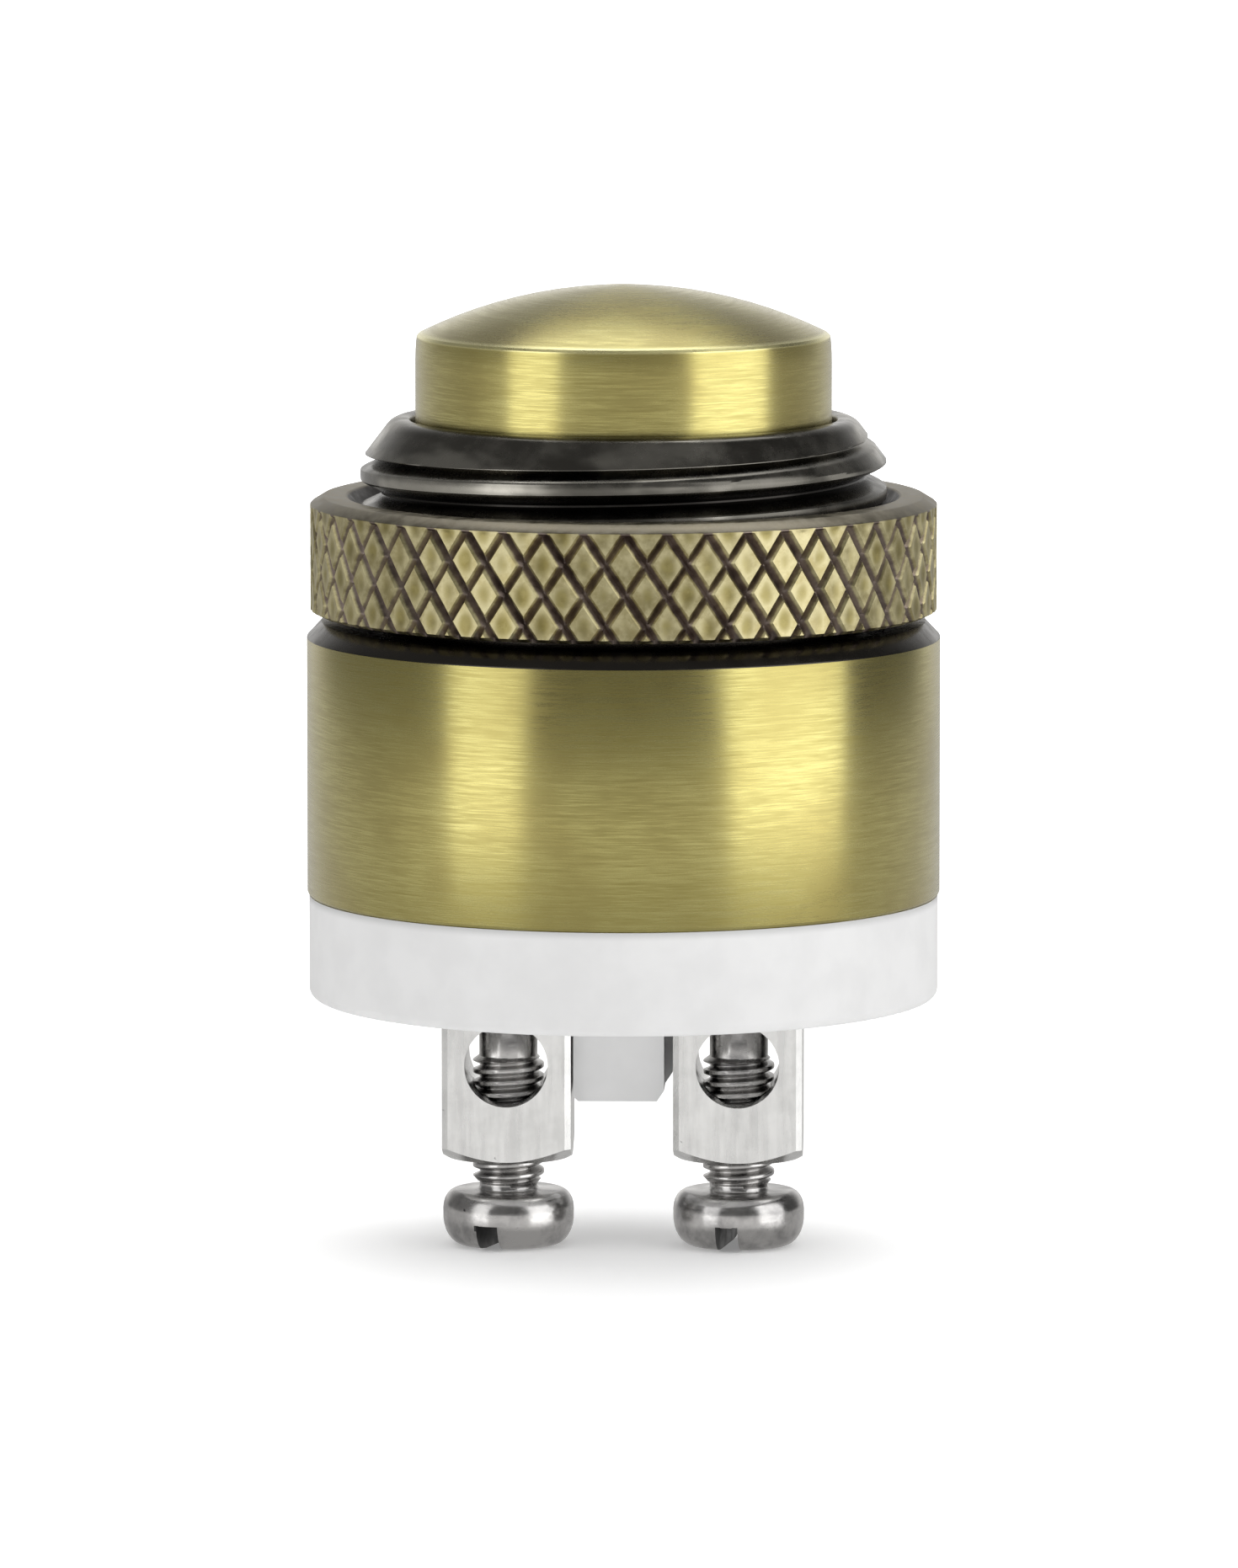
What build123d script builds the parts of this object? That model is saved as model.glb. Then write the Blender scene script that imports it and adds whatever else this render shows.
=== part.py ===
from build123d import *
import math
import os

# Bell push that fixes through a round hole in a plate and is held by its knurled nut.
# Millimetres. +Z runs up through the button, the screw heads' undersides lie at z = 0,
# the two terminals stand left and right along X, and the wires enter along Y.

# Clearances between pieces
running_clearance = 0.05
seat_clearance = 0.02
stop_clearance = 0.05

# Barrel, turned in one piece with its threaded neck
barrel_diameter = 26.5
barrel_length = 11.5
barrel_wall = 2.0
barrel_roof = 1.65
barrel_chamfer_width = 0.6
barrel_chamfer_height = 0.65
barrel_mouth_chamfer = 0.4
neck_diameter = 22.0
neck_length = 8.49
neck_wall = 1.45
neck_relief_depth = 0.9
neck_relief_height = 0.8
neck_relief_slope = 0.45
nose_cone_angle = 37.0
nose_bead_radius = 0.4
nose_flat_width = 0.45
lip_thickness = 1.6
lip_chamfer = 0.15

# Knurled lock nut
nut_diameter = 26.2
nut_height = 4.9
nut_gap = 0.35
nut_thread_clearance = 0.05
nut_top_chamfer_width = 0.6
nut_top_chamfer_height = 0.36
nut_bottom_chamfer = 0.25
nut_countersink_width = 0.5
nut_countersink_height = 0.6
knurl_grooves = 48
knurl_angle = 34.1
knurl_depth = 0.28
knurl_groove_width = 0.46
knurl_crossing_drop = 0.4
knurl_cutter_overshoot = 0.1

# Domed button
button_diameter = 17.4
button_clearance = 0.2
button_rise = 3.53
dome_height = 2.0
button_edge_radius = 0.1
button_side_draw = 0.06
button_side_draw_height = 1.0
button_wall = 1.2
button_crown = 1.3
button_flange_width = 0.6
button_flange_height = 1.2
press_travel = 1.5

# Moulded contact carrier under the button
carrier_plug_height = 2.0
carrier_plug_wall = 1.2
guide_disc_thickness = 1.4
guide_disc_clearance = 0.3
pocket_block_width = 4.4
pocket_block_depth = 3.4
pocket_block_height = 3.2
carrier_tube_diameter = 8.4
carrier_spigot_diameter = 7.5
carrier_spigot_end = 0.3
spring_bore_diameter = 6.4
spring_bore_roof = 4.2

# Contact bridge, its clip and the contact tips
bridge_thickness = 0.5
bridge_width = 3.2
bridge_hub_diameter = 10.4
clip_diameter = 9.8
clip_thickness = 0.5
clip_slot_width = 0.8
clip_slots = 3
tip_diameter = 1.8
tip_height = 0.6
tip_edge_height = 0.25
tip_spacing = 16.4
tip_overhang = 1.0
contact_gap = 0.02

# Terminal base, moulded in one piece
base_thickness = 4.33
base_inset = 0.075
base_edge_radius = 0.4
base_floor_rise = 0.5
spigot_height = 2.6
spigot_wall = 1.5
spigot_chamfer = 0.3
spring_boss_diameter = 4.1
spring_boss_height = 3.4
lug_width = 4.1
lug_depth = 3.8
lug_length = 4.26
lug_cut_width = 0.6
lug_cut_height = 0.9
lug_small_cut = 0.2
lug_rebate_width = 0.3
lug_rebate_depth = 2.4
guide_spacing = 12.8
guide_width = 2.2
guide_depth = 1.8
guide_clearance = 0.2

# Terminal posts
post_spacing = 9.68
post_width = 5.4
post_length = 6.82
post_edge_chamfer = 0.25
post_end_diameter = 5.2
post_end_angle = 30.0
wire_hole_diameter = 3.5
wire_hole_depth = 2.68
stud_diameter = 2.4
stud_head_diameter = 3.2
stud_head_height = 0.5

# Contact strips and washers held by the posts
strip_thickness = 0.5
strip_width = 3.2
strip_rise = 1.5
strip_riser_clearance = 0.15
washer_diameter = 3.6
washer_thickness = 0.4

# Clamp screws
screw_diameter = 3.0
screw_thread_end = 8.05
screw_tip_diameter = 2.45
tap_drill_diameter = 2.55
screw_tip_gap = 0.05
screw_tip_chamfer = 0.3
screw_neck_diameter = 2.5
screw_neck_height = 0.35
head_diameter = 5.5
head_height = 2.35
head_flat_diameter = 3.9
head_top_diameter = 4.5
head_widest_z = 1.25
head_gap = 1.43
slot_width = 0.95
slot_depth = 1.1
slot_angles = {"left": 72.0, "right": 80.0}

# Return spring
spring_wire = 0.5
spring_wire_sides = 6
spring_turns = 5.0
spring_boss_clearance = 0.25

# Heights that follow from the sizes above
post_end_z = head_height + head_gap
base_bottom_z = post_end_z + post_length
barrel_bottom_z = base_bottom_z + base_thickness
shoulder_z = barrel_bottom_z + barrel_length
barrel_roof_z = shoulder_z - barrel_roof
nose_z = shoulder_z + neck_length
lip_z = nose_z - lip_thickness
nut_bottom_z = shoulder_z + nut_gap
nut_top_z = nut_bottom_z + nut_height
button_edge_z = nose_z + button_rise
button_top_z = button_edge_z + dome_height
flange_top_z = lip_z - stop_clearance
flange_bottom_z = flange_top_z - button_flange_height
guide_disc_bottom_z = flange_bottom_z - guide_disc_thickness
pocket_bottom_z = guide_disc_bottom_z - pocket_block_height
floor_z = barrel_bottom_z + base_floor_rise
strip_top_z = floor_z + strip_thickness
shelf_top_z = strip_top_z + strip_rise
washer_top_z = strip_top_z + washer_thickness
strip_tip_z = shelf_top_z + tip_height
bridge_tip_z = strip_tip_z + press_travel + contact_gap
bridge_bottom_z = bridge_tip_z + tip_height
bridge_top_z = bridge_bottom_z + bridge_thickness
clip_bottom_z = bridge_bottom_z - clip_thickness
carrier_end_z = clip_bottom_z - carrier_spigot_end
spring_roof_z = flange_bottom_z - spring_bore_roof
wire_hole_z = base_bottom_z - wire_hole_depth
guide_top_z = guide_disc_bottom_z - press_travel - stop_clearance

# Radii that follow from the sizes above
barrel_radius = barrel_diameter / 2
barrel_bore_radius = barrel_radius - barrel_wall
neck_radius = neck_diameter / 2
neck_bore_radius = neck_radius - neck_wall
button_radius = button_diameter / 2
nose_bore_radius = button_radius + button_clearance
flange_radius = button_radius + button_flange_width
button_bore_radius = button_radius - button_wall
base_radius = barrel_radius - base_inset
spigot_radius = barrel_bore_radius - running_clearance
spigot_bore_radius = spigot_radius - spigot_wall
spigot_top_z = barrel_bottom_z + spigot_height
nut_radius = nut_diameter / 2
nut_bore_radius = neck_radius + nut_thread_clearance
sides = {"left": -1, "right": 1}


def turned(*edges):
    """Solid turned about the Z axis from edges drawn as (radius, height)."""
    face = make_face(Plane.XZ * (Curve() + list(edges)))
    return revolve(face, Axis.Z)


def turned_points(*points):
    """Solid turned about the Z axis from a closed outline of straight lines."""
    return turned(Polyline(*points, close=True))


def disc(diameter, bottom, top):
    return Pos(0, 0, bottom) * Cylinder(
        diameter / 2, top - bottom, align=(Align.CENTER, Align.CENTER, Align.MIN)
    )


def block(width, depth, bottom, top):
    return Pos(0, 0, bottom) * Box(
        width, depth, top - bottom, align=(Align.CENTER, Align.CENTER, Align.MIN)
    )


def dome_arc(radius, rise, top_z, up=1):
    """Arc of a shallow dome from its top on the axis to its rim; up is -1 for a hanging dome."""
    dome_radius = (radius**2 + rise**2) / (2 * rise)
    mid_angle = math.asin(radius / dome_radius) / 2
    mid_drop = dome_radius * (1 - math.cos(mid_angle))
    return ThreePointArc(
        (0, top_z),
        (dome_radius * math.sin(mid_angle), top_z - up * mid_drop),
        (radius, top_z - up * rise),
    )


def make_barrel():
    """Hollow barrel with the neck, the relief groove, the rounded nose and the button's lip."""
    relief_radius = neck_radius - neck_relief_depth
    relief_top_z = shoulder_z + neck_relief_height
    cone_angle = math.radians(nose_cone_angle)
    flat_radius = nose_bore_radius + lip_chamfer + nose_flat_width
    bead_edge_radius = flat_radius + nose_bead_radius * math.cos(cone_angle)
    bead_edge_z = nose_z - nose_bead_radius * (1 - math.sin(cone_angle))
    cone_foot_z = bead_edge_z - (neck_radius - bead_edge_radius) / math.tan(cone_angle)
    return turned(
        TangentArc((flat_radius, nose_z), (bead_edge_radius, bead_edge_z), tangent=(1, 0)),
        Polyline(
            (bead_edge_radius, bead_edge_z),
            (neck_radius, cone_foot_z),
            (neck_radius, relief_top_z + neck_relief_slope),
            (relief_radius, relief_top_z),
            (relief_radius, shoulder_z),
            (barrel_radius - barrel_chamfer_width, shoulder_z),
            (barrel_radius, shoulder_z - barrel_chamfer_height),
            (barrel_radius, barrel_bottom_z),
            (barrel_bore_radius + barrel_mouth_chamfer, barrel_bottom_z),
            (barrel_bore_radius, barrel_bottom_z + barrel_mouth_chamfer),
            (barrel_bore_radius, barrel_roof_z),
            (neck_bore_radius, barrel_roof_z),
            (neck_bore_radius, lip_z),
            (nose_bore_radius, lip_z),
            (nose_bore_radius, nose_z - lip_chamfer),
            (nose_bore_radius + lip_chamfer, nose_z),
            (flat_radius, nose_z),
        ),
    )


def make_nut_blank():
    """Turned ring, with a flat for each column of diamonds on its rim."""
    rim = extrude(RegularPolygon(nut_radius, knurl_grooves), nut_height)
    ring = turned_points(
        (nut_bore_radius, nut_bottom_z),
        (nut_radius - nut_bottom_chamfer, nut_bottom_z),
        (nut_radius, nut_bottom_z + nut_bottom_chamfer),
        (nut_radius, nut_top_z - nut_top_chamfer_height),
        (nut_radius - nut_top_chamfer_width, nut_top_z),
        (nut_bore_radius + nut_countersink_width, nut_top_z),
        (nut_bore_radius, nut_top_z - nut_countersink_height),
    )
    return ring & Pos(0, 0, nut_bottom_z) * rim


def knurl_cutters():
    """V-shaped cutters that lean both ways, so that each pair crosses below the nut's top rim."""
    half_width = knurl_groove_width / 2 * (knurl_depth + knurl_cutter_overshoot) / knurl_depth
    cutter_radius = nut_radius + knurl_cutter_overshoot
    vee = make_face(
        Polyline(
            (nut_radius - knurl_depth, 0),
            (cutter_radius, half_width),
            (cutter_radius, -half_width),
            close=True,
        )
    )
    prism = extrude(vee, nut_height, both=True)
    middle_z = (nut_bottom_z + nut_top_z) / 2
    rise = nut_top_z - knurl_crossing_drop - middle_z
    shift = math.degrees(rise * math.tan(math.radians(knurl_angle)) / nut_radius)
    cutters = []
    for lean in (1, -1):
        leaning = Rot(lean * knurl_angle, 0, 0) * prism
        for step in range(knurl_grooves):
            angle = step * 360 / knurl_grooves + lean * shift
            cutters.append(Pos(0, 0, middle_z) * Rot(0, 0, angle) * leaning)
    return cutters


def make_lock_nut():
    return make_nut_blank() - knurl_cutters()


def make_button():
    """Domed cup whose side draws in below its edge, with the flange that the lip stops."""
    drawn_radius = button_radius - button_side_draw
    dome_rim = drawn_radius - button_edge_radius
    side_top_z = button_edge_z - button_edge_radius
    draw_z = side_top_z - button_side_draw_height
    bore_top_z = button_edge_z - button_crown
    return turned(
        dome_arc(dome_rim, dome_height, button_top_z),
        Line((dome_rim, button_edge_z), (drawn_radius, side_top_z)),
        TangentArc((button_radius, draw_z), (drawn_radius, side_top_z), tangent=(0, 1)),
        Polyline(
            (button_radius, draw_z),
            (button_radius, flange_top_z),
            (flange_radius, flange_top_z),
            (flange_radius, flange_bottom_z),
            (button_bore_radius, flange_bottom_z),
            (button_bore_radius, bore_top_z),
            (0, bore_top_z),
            (0, button_top_z),
        ),
    )


def make_carrier():
    """Insulating carrier: plug in the button, guide disc, tube for the spring and end spigot."""
    plug_diameter = 2 * (button_bore_radius - running_clearance)
    disc_diameter = 2 * (neck_bore_radius - guide_disc_clearance)
    pocket_width = guide_width + 2 * guide_clearance
    pocket_depth = guide_depth + 2 * guide_clearance
    body = disc(plug_diameter, flange_bottom_z, flange_bottom_z + carrier_plug_height)
    body += disc(disc_diameter, guide_disc_bottom_z, flange_bottom_z)
    body += disc(carrier_tube_diameter, bridge_top_z, guide_disc_bottom_z)
    body += disc(carrier_spigot_diameter, carrier_end_z, bridge_top_z)
    for side in (-1, 1):
        place = Pos(0, side * guide_spacing / 2, 0)
        body += place * block(
            pocket_block_width, pocket_block_depth, pocket_bottom_z, guide_disc_bottom_z
        )
    body &= disc(disc_diameter, carrier_end_z, flange_bottom_z + carrier_plug_height)
    plug_recess_diameter = plug_diameter - 2 * carrier_plug_wall
    body -= disc(plug_recess_diameter, flange_bottom_z, flange_bottom_z + carrier_plug_height)
    for side in (-1, 1):
        place = Pos(0, side * guide_spacing / 2, 0)
        body -= place * block(
            pocket_width, pocket_depth, pocket_bottom_z, guide_disc_bottom_z
        )
    body -= disc(spring_bore_diameter, carrier_end_z, spring_roof_z)
    return body


def make_bridge():
    """Flat contact bridge: a round hub on the carrier's spigot and an arm to each side."""
    length = tip_spacing + 2 * tip_overhang
    plate = block(length, bridge_width, bridge_bottom_z, bridge_top_z)
    plate += disc(bridge_hub_diameter, bridge_bottom_z, bridge_top_z)
    hole = carrier_spigot_diameter + 2 * seat_clearance
    return plate - disc(hole, bridge_bottom_z, bridge_top_z)


def make_clip():
    """Push-on clip that holds the bridge on the spigot, with slots that let it spring."""
    hole = carrier_spigot_diameter + 2 * seat_clearance
    clip = disc(clip_diameter, clip_bottom_z, bridge_bottom_z)
    clip -= disc(hole, clip_bottom_z, bridge_bottom_z)
    slot_length = (clip_diameter + hole) / 4
    for step in range(clip_slots):
        slot = Pos(slot_length / 2, 0, 0) * block(
            slot_length, clip_slot_width, clip_bottom_z, bridge_bottom_z
        )
        clip -= Rot(0, 0, 90 + step * 360 / clip_slots) * slot
    return clip


def make_tip(side, base_z, up):
    """Contact tip: a low dome on a short round edge, pointing up or down from base_z."""
    radius = tip_diameter / 2
    edge_z = base_z + up * tip_edge_height
    end_z = base_z + up * tip_height
    tip = turned(
        dome_arc(radius, tip_height - tip_edge_height, end_z, up),
        Polyline((radius, edge_z), (radius, base_z), (0, base_z), (0, end_z)),
    )
    return Pos(side * tip_spacing / 2, 0, 0) * tip


def make_base():
    """White base: flange under the barrel, spigot ring in its bore, lug and guide pillars."""
    base = disc(2 * base_radius, base_bottom_z, barrel_bottom_z)
    base = fillet(base.edges().group_by(Axis.Z)[0], base_edge_radius)
    spigot = disc(2 * spigot_radius, barrel_bottom_z, spigot_top_z)
    spigot = chamfer(spigot.edges().group_by(Axis.Z)[-1], spigot_chamfer)
    base += spigot
    base -= disc(2 * spigot_bore_radius, floor_z, spigot_top_z)
    base += disc(spring_boss_diameter, floor_z, floor_z + spring_boss_height)
    for side in (-1, 1):
        place = Pos(0, side * guide_spacing / 2, 0)
        base += place * block(guide_width, guide_depth, floor_z, guide_top_z)
        base -= Pos(side * post_spacing / 2, 0, 0) * disc(
            stud_diameter + 2 * seat_clearance, base_bottom_z, floor_z
        )
    return base + make_lug()


def make_lug():
    """Key between the two posts, with its lower corners cut and a rebate down its front edge."""
    half = lug_width / 2
    bottom = base_bottom_z - lug_length
    outline = Polyline(
        (-half, base_bottom_z),
        (-half, bottom + lug_small_cut),
        (-half + lug_small_cut, bottom),
        (half - lug_cut_width, bottom),
        (half, bottom + lug_cut_height),
        (half, base_bottom_z),
        close=True,
    )
    lug = extrude(make_face(Plane.XZ * outline), lug_depth / 2, both=True)
    rebate_x = half - lug_rebate_width / 2
    rebate_y = (lug_rebate_depth - lug_depth) / 2
    rebate = block(lug_rebate_width, lug_rebate_depth, bottom, base_bottom_z)
    return lug - Pos(rebate_x, rebate_y, 0) * rebate


def make_post(side):
    """Square terminal post, turned at its end, with its stud riveted over the washer."""
    reach = post_width
    flat_radius = post_end_diameter / 2
    cone_rise = (reach - flat_radius) * math.tan(math.radians(post_end_angle))
    post = block(post_width, post_width, post_end_z, base_bottom_z)
    post = chamfer(post.edges().filter_by(Axis.Z), post_edge_chamfer)
    post &= turned_points(
        (0, post_end_z),
        (flat_radius, post_end_z),
        (reach, post_end_z + cone_rise),
        (reach, base_bottom_z),
        (0, base_bottom_z),
    )
    post += disc(stud_diameter, base_bottom_z, washer_top_z)
    head = disc(stud_head_diameter, washer_top_z, washer_top_z + stud_head_height)
    post += chamfer(head.edges().group_by(Axis.Z)[-1], stud_head_height / 2)
    screw_hole = screw_diameter + 2 * running_clearance
    post -= disc(screw_hole, post_end_z, wire_hole_z)
    wire_hole_top_z = wire_hole_z + wire_hole_diameter / 2
    post -= disc(tap_drill_diameter, wire_hole_z, wire_hole_top_z)
    wire_hole = Cylinder(wire_hole_diameter / 2, post_width, rotation=(90, 0, 0))
    post -= Pos(0, 0, wire_hole_z) * wire_hole
    return Pos(side * post_spacing / 2, 0, 0) * post


def make_strip(side):
    """Contact strip: foot under the washer, a riser and a shelf that carries the tip."""
    centre = post_spacing / 2
    start = centre - washer_diameter / 2
    riser = centre + washer_diameter / 2 + strip_riser_clearance
    end = tip_spacing / 2 + tip_overhang
    shelf_bottom_z = shelf_top_z - strip_thickness
    outline = Polyline(
        (start, floor_z),
        (riser + strip_thickness, floor_z),
        (riser + strip_thickness, shelf_bottom_z),
        (end, shelf_bottom_z),
        (end, shelf_top_z),
        (riser, shelf_top_z),
        (riser, strip_top_z),
        (start, strip_top_z),
        close=True,
    )
    strip = extrude(make_face(Plane.XZ * outline), strip_width / 2, both=True)
    hole = disc(stud_diameter + 2 * seat_clearance, floor_z, strip_top_z)
    strip -= Pos(centre, 0, 0) * hole
    return strip if side > 0 else mirror(strip, Plane.YZ)


def make_washer(side):
    washer = disc(washer_diameter, strip_top_z, washer_top_z)
    washer -= disc(stud_diameter + 2 * seat_clearance, strip_top_z, washer_top_z)
    return Pos(side * post_spacing / 2, 0, 0) * washer


def make_screw(side, slot_angle):
    """Slotted clamp screw that enters from below, with a rounded head and a plain tip."""
    wire_hole_top_z = wire_hole_z + wire_hole_diameter / 2
    tip_z = wire_hole_top_z - screw_tip_gap
    tip_radius = screw_tip_diameter / 2
    thread_radius = screw_diameter / 2
    undercut_radius = screw_neck_diameter / 2
    neck_top_z = head_height + screw_neck_height
    neck_slope = thread_radius - undercut_radius
    flat_radius = head_flat_diameter / 2
    head_radius = head_diameter / 2
    head_top_radius = head_top_diameter / 2
    screw = turned(
        Line((0, 0), (flat_radius, 0)),
        TangentArc((head_radius, head_widest_z), (flat_radius, 0), tangent=(0, -1)),
        TangentArc((head_radius, head_widest_z), (head_top_radius, head_height), tangent=(0, 1)),
        Polyline(
            (head_top_radius, head_height),
            (undercut_radius, head_height),
            (undercut_radius, neck_top_z),
            (thread_radius, neck_top_z + neck_slope),
            (thread_radius, screw_thread_end - thread_radius + tip_radius),
            (tip_radius, screw_thread_end),
            (tip_radius, tip_z - screw_tip_chamfer),
            (tip_radius - screw_tip_chamfer, tip_z),
            (0, tip_z),
            (0, 0),
        ),
    )
    slot = Rot(0, 0, slot_angle) * block(head_diameter, slot_width, 0, slot_depth)
    return Pos(side * post_spacing / 2, 0, 0) * (screw - slot)


def make_spring():
    """Compression spring round the base's boss, up to the roof of the carrier's bore."""
    mean_radius = spring_boss_diameter / 2 + spring_boss_clearance + spring_wire / 2
    bottom = floor_z + spring_wire / 2 + seat_clearance
    height = spring_roof_z - seat_clearance - spring_wire / 2 - bottom
    path = Helix(pitch=height / spring_turns, height=height, radius=mean_radius)
    wire = RegularPolygon(spring_wire / 2, spring_wire_sides)
    section = Plane(origin=path @ 0, z_dir=path % 0) * wire
    return Pos(0, 0, bottom) * sweep(section, path, is_frenet=True)


def make_parts():
    parts = {
        "barrel": make_barrel(),
        "lock_nut": make_lock_nut(),
        "button_cap": make_button(),
        "contact_carrier": make_carrier(),
        "contact_bridge": make_bridge(),
        "bridge_clip": make_clip(),
        "return_spring": make_spring(),
        "terminal_base": make_base(),
    }
    for name, side in sides.items():
        parts["terminal_post_" + name] = make_post(side)
        parts["contact_strip_" + name] = make_strip(side)
        parts["post_washer_" + name] = make_washer(side)
        parts["strip_tip_" + name] = make_tip(side, shelf_top_z, 1)
        parts["bridge_tip_" + name] = make_tip(side, bridge_bottom_z, -1)
        parts["clamp_screw_" + name] = make_screw(side, slot_angles[name])
    return parts


os.makedirs("parts", exist_ok=True)
for node, shape in make_parts().items():
    export_step(shape, "parts/" + node + ".step")
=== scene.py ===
import math

import bmesh
import bpy
from mathutils import Matrix, Vector


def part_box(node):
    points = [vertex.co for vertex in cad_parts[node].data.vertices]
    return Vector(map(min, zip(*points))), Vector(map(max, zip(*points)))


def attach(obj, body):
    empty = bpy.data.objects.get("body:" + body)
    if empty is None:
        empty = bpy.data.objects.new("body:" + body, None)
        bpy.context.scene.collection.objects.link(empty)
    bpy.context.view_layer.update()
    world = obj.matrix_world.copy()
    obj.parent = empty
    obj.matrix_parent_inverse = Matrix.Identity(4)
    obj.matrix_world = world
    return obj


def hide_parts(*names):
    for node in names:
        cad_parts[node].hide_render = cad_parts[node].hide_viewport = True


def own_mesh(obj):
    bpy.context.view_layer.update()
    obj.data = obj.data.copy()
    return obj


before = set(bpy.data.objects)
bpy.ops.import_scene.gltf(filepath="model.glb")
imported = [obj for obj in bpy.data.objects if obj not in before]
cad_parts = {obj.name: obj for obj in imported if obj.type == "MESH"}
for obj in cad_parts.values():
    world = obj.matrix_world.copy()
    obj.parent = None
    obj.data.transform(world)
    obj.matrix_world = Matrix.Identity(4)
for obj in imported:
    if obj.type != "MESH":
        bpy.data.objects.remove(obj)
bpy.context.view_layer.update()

MM = 0.001

# Camera and photograph
PHOTO_HEIGHT_PX = 1862
PIXELS_PER_MM = 28.34
CAMERA_DISTANCE = 540 * MM
CAMERA_AZIMUTH = math.radians(1.7)
CAMERA_ELEVATION = math.radians(6.85)
AIM_HEIGHT = 19.5 * MM
AIM_SIDE = -0.19 * MM
SENSOR_MM = 36.0

# Studio surround, as radiance
WALL_BEHIND = 0.95
CEILING_BEHIND = 0.40
WALL_LEFT = 0.18
WALL_RIGHT = 0.10
FRONT_OF_STUDIO = 0.165
FLOOR_AHEAD = 0.88
FLOOR_ASIDE = 0.55
FLOOR_UNDER = 0.44
SURROUND_COLOUR = (1.0, 0.99, 0.975, 1.0)

# Studio floor, which glows more away from the part
FLOOR_HALF_SIZE = 2.5
FLOOR_COLOUR = (0.93, 0.93, 0.93, 1)
GLOW_COLOUR = (1, 1, 1, 1)
GLOW_NEAR = 0.22
GLOW_FAR = 1.0
GLOW_STARTS = 0.06
GLOW_ENDS = 0.30

# Softboxes: name, azimuth and elevation in degrees, distance, width and height in metres, radiance
SOFTBOXES = (
    ("left_softbox", -51, 14, 0.5, 0.27, 0.55, 1.3),
    ("right_softbox", 62, 14, 0.5, 0.46, 0.55, 1.62),
    ("top_softbox", 170, 64, 0.6, 0.48, 0.26, 2.1),
)
CEILING_FILL = ("ceiling_fill", 180, 89, 0.9, 1.6, 1.6, 1.3)

# Threads, where a mark is a share of the half pitch from the middle of a crest
NECK_PITCH = 1.5 * MM
NECK_THREAD_DEPTH = 0.88 * MM
NECK_CREST_AT_FRONT = 32.94 * MM
NECK_LAST_GROOVE = 0.21
SCREW_PITCH = 0.5 * MM
SCREW_THREAD_DEPTH = 0.3 * MM
CREST_SHARE = 0.30
FLANK_END_SHARE = 0.94
CROWN_DROP = 0.02
STRAIGHT_DROP = 0.38
EASED_DROP = 0.60
THREAD_MARKS = (0.0, 0.16, 0.30, 0.35, 0.41, 0.49, 0.59, 0.69, 0.78, 0.85, 0.90, 0.95)

# Barrel
BARREL_WALL = 2.0 * MM
BARREL_ROOF = 1.65 * MM
BARREL_CHAMFER_WIDTH = 0.6 * MM
BARREL_CHAMFER_HEIGHT = 0.65 * MM
BARREL_FOOT_CHAMFER = 0.12 * MM
BORE_CHAMFER = 0.4 * MM

# Neck and nose of the barrel
NECK_LENGTH = 8.49 * MM
NECK_RADIUS = 11.0 * MM
NECK_BORE = 9.55 * MM
NECK_RELIEF_RADIUS = 10.1 * MM
NECK_RELIEF_HEIGHT = 0.8 * MM
NOSE_FLAT_RADIUS = 9.32 * MM
NOSE_BEAD_RADIUS = 0.72 * MM
NOSE_CONE_ANGLE = math.radians(37.0)
NOSE_BEAD_STEPS = 10
LIP_THICKNESS = 1.6 * MM
BUTTON_FLANGE = 0.6 * MM
BUTTON_CLEARANCE = 0.2 * MM

# Lock nut
NUT_RADIUS = 13.1 * MM
NUT_BORE = 11.05 * MM
NUT_RIM_HEIGHT = 0.36 * MM
NUT_SKIRT_HEIGHT = 0.16 * MM
NUT_SKIRT_DROP = 0.34 * MM

# Knurl, where a mark is a share of one diamond's side
KNURL_COLUMNS = 48
KNURL_ANGLE = math.radians(34.1)
KNURL_WIDTH = math.tau * NUT_RADIUS / KNURL_COLUMNS
KNURL_PERIOD = KNURL_WIDTH / math.tan(KNURL_ANGLE)
KNURL_UNITS = 6
DEEP_GROOVE = 0.28 * MM
DEEP_HALF_WIDTH = 0.165
SHALLOW_GROOVE = 0.22 * MM
SHALLOW_HALF_WIDTH = 0.13
DIMPLE_DEPTH = 0.03 * MM
KNURL_TOP_DROP = 0.40 * MM
KNURL_TURN = 0.27
KNURL_FADE = 0.08 * MM
CELL_MARKS = (0.0, 0.045, 0.09, 0.135, 0.18, 0.30, 0.42, 0.5, 0.58, 0.70, 0.82, 0.865, 0.91, 0.955)

# Clamp screws
SCREW_RADIUS = 1.5 * MM
SCREW_NECK_RADIUS = 1.22 * MM
SCREW_NECK_LENGTH = 0.28 * MM
SCREW_TIP_RADIUS = 1.225 * MM
SCREW_THREAD_END = 8.05 * MM
SCREW_HEAD_RADIUS = 2.75 * MM
SCREW_HEAD_TOP = 2.35 * MM
SLOT_WIDTH = 0.95 * MM
SLOT_DEPTH = 1.1 * MM
SLOT_DEGREES = {"left": 72, "right": 80}

# Return spring
SPRING_WIRE_RADIUS = 0.215 * MM
SPRING_TURNS = 5
SPRING_STEPS_A_TURN = 48
SPRING_WIRE_SIDES = 12

# Merging distance, and steps round a full turn
MERGE = 0.002 * MM
SMALL_RADIUS = 5 * MM
SMALL_STEPS = 72
LARGE_STEPS = 192

# Places of the colour sockets on a Mix node
MIX_COLOUR_INPUTS = (6, 7)
MIX_COLOUR_OUTPUT = 2

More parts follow.
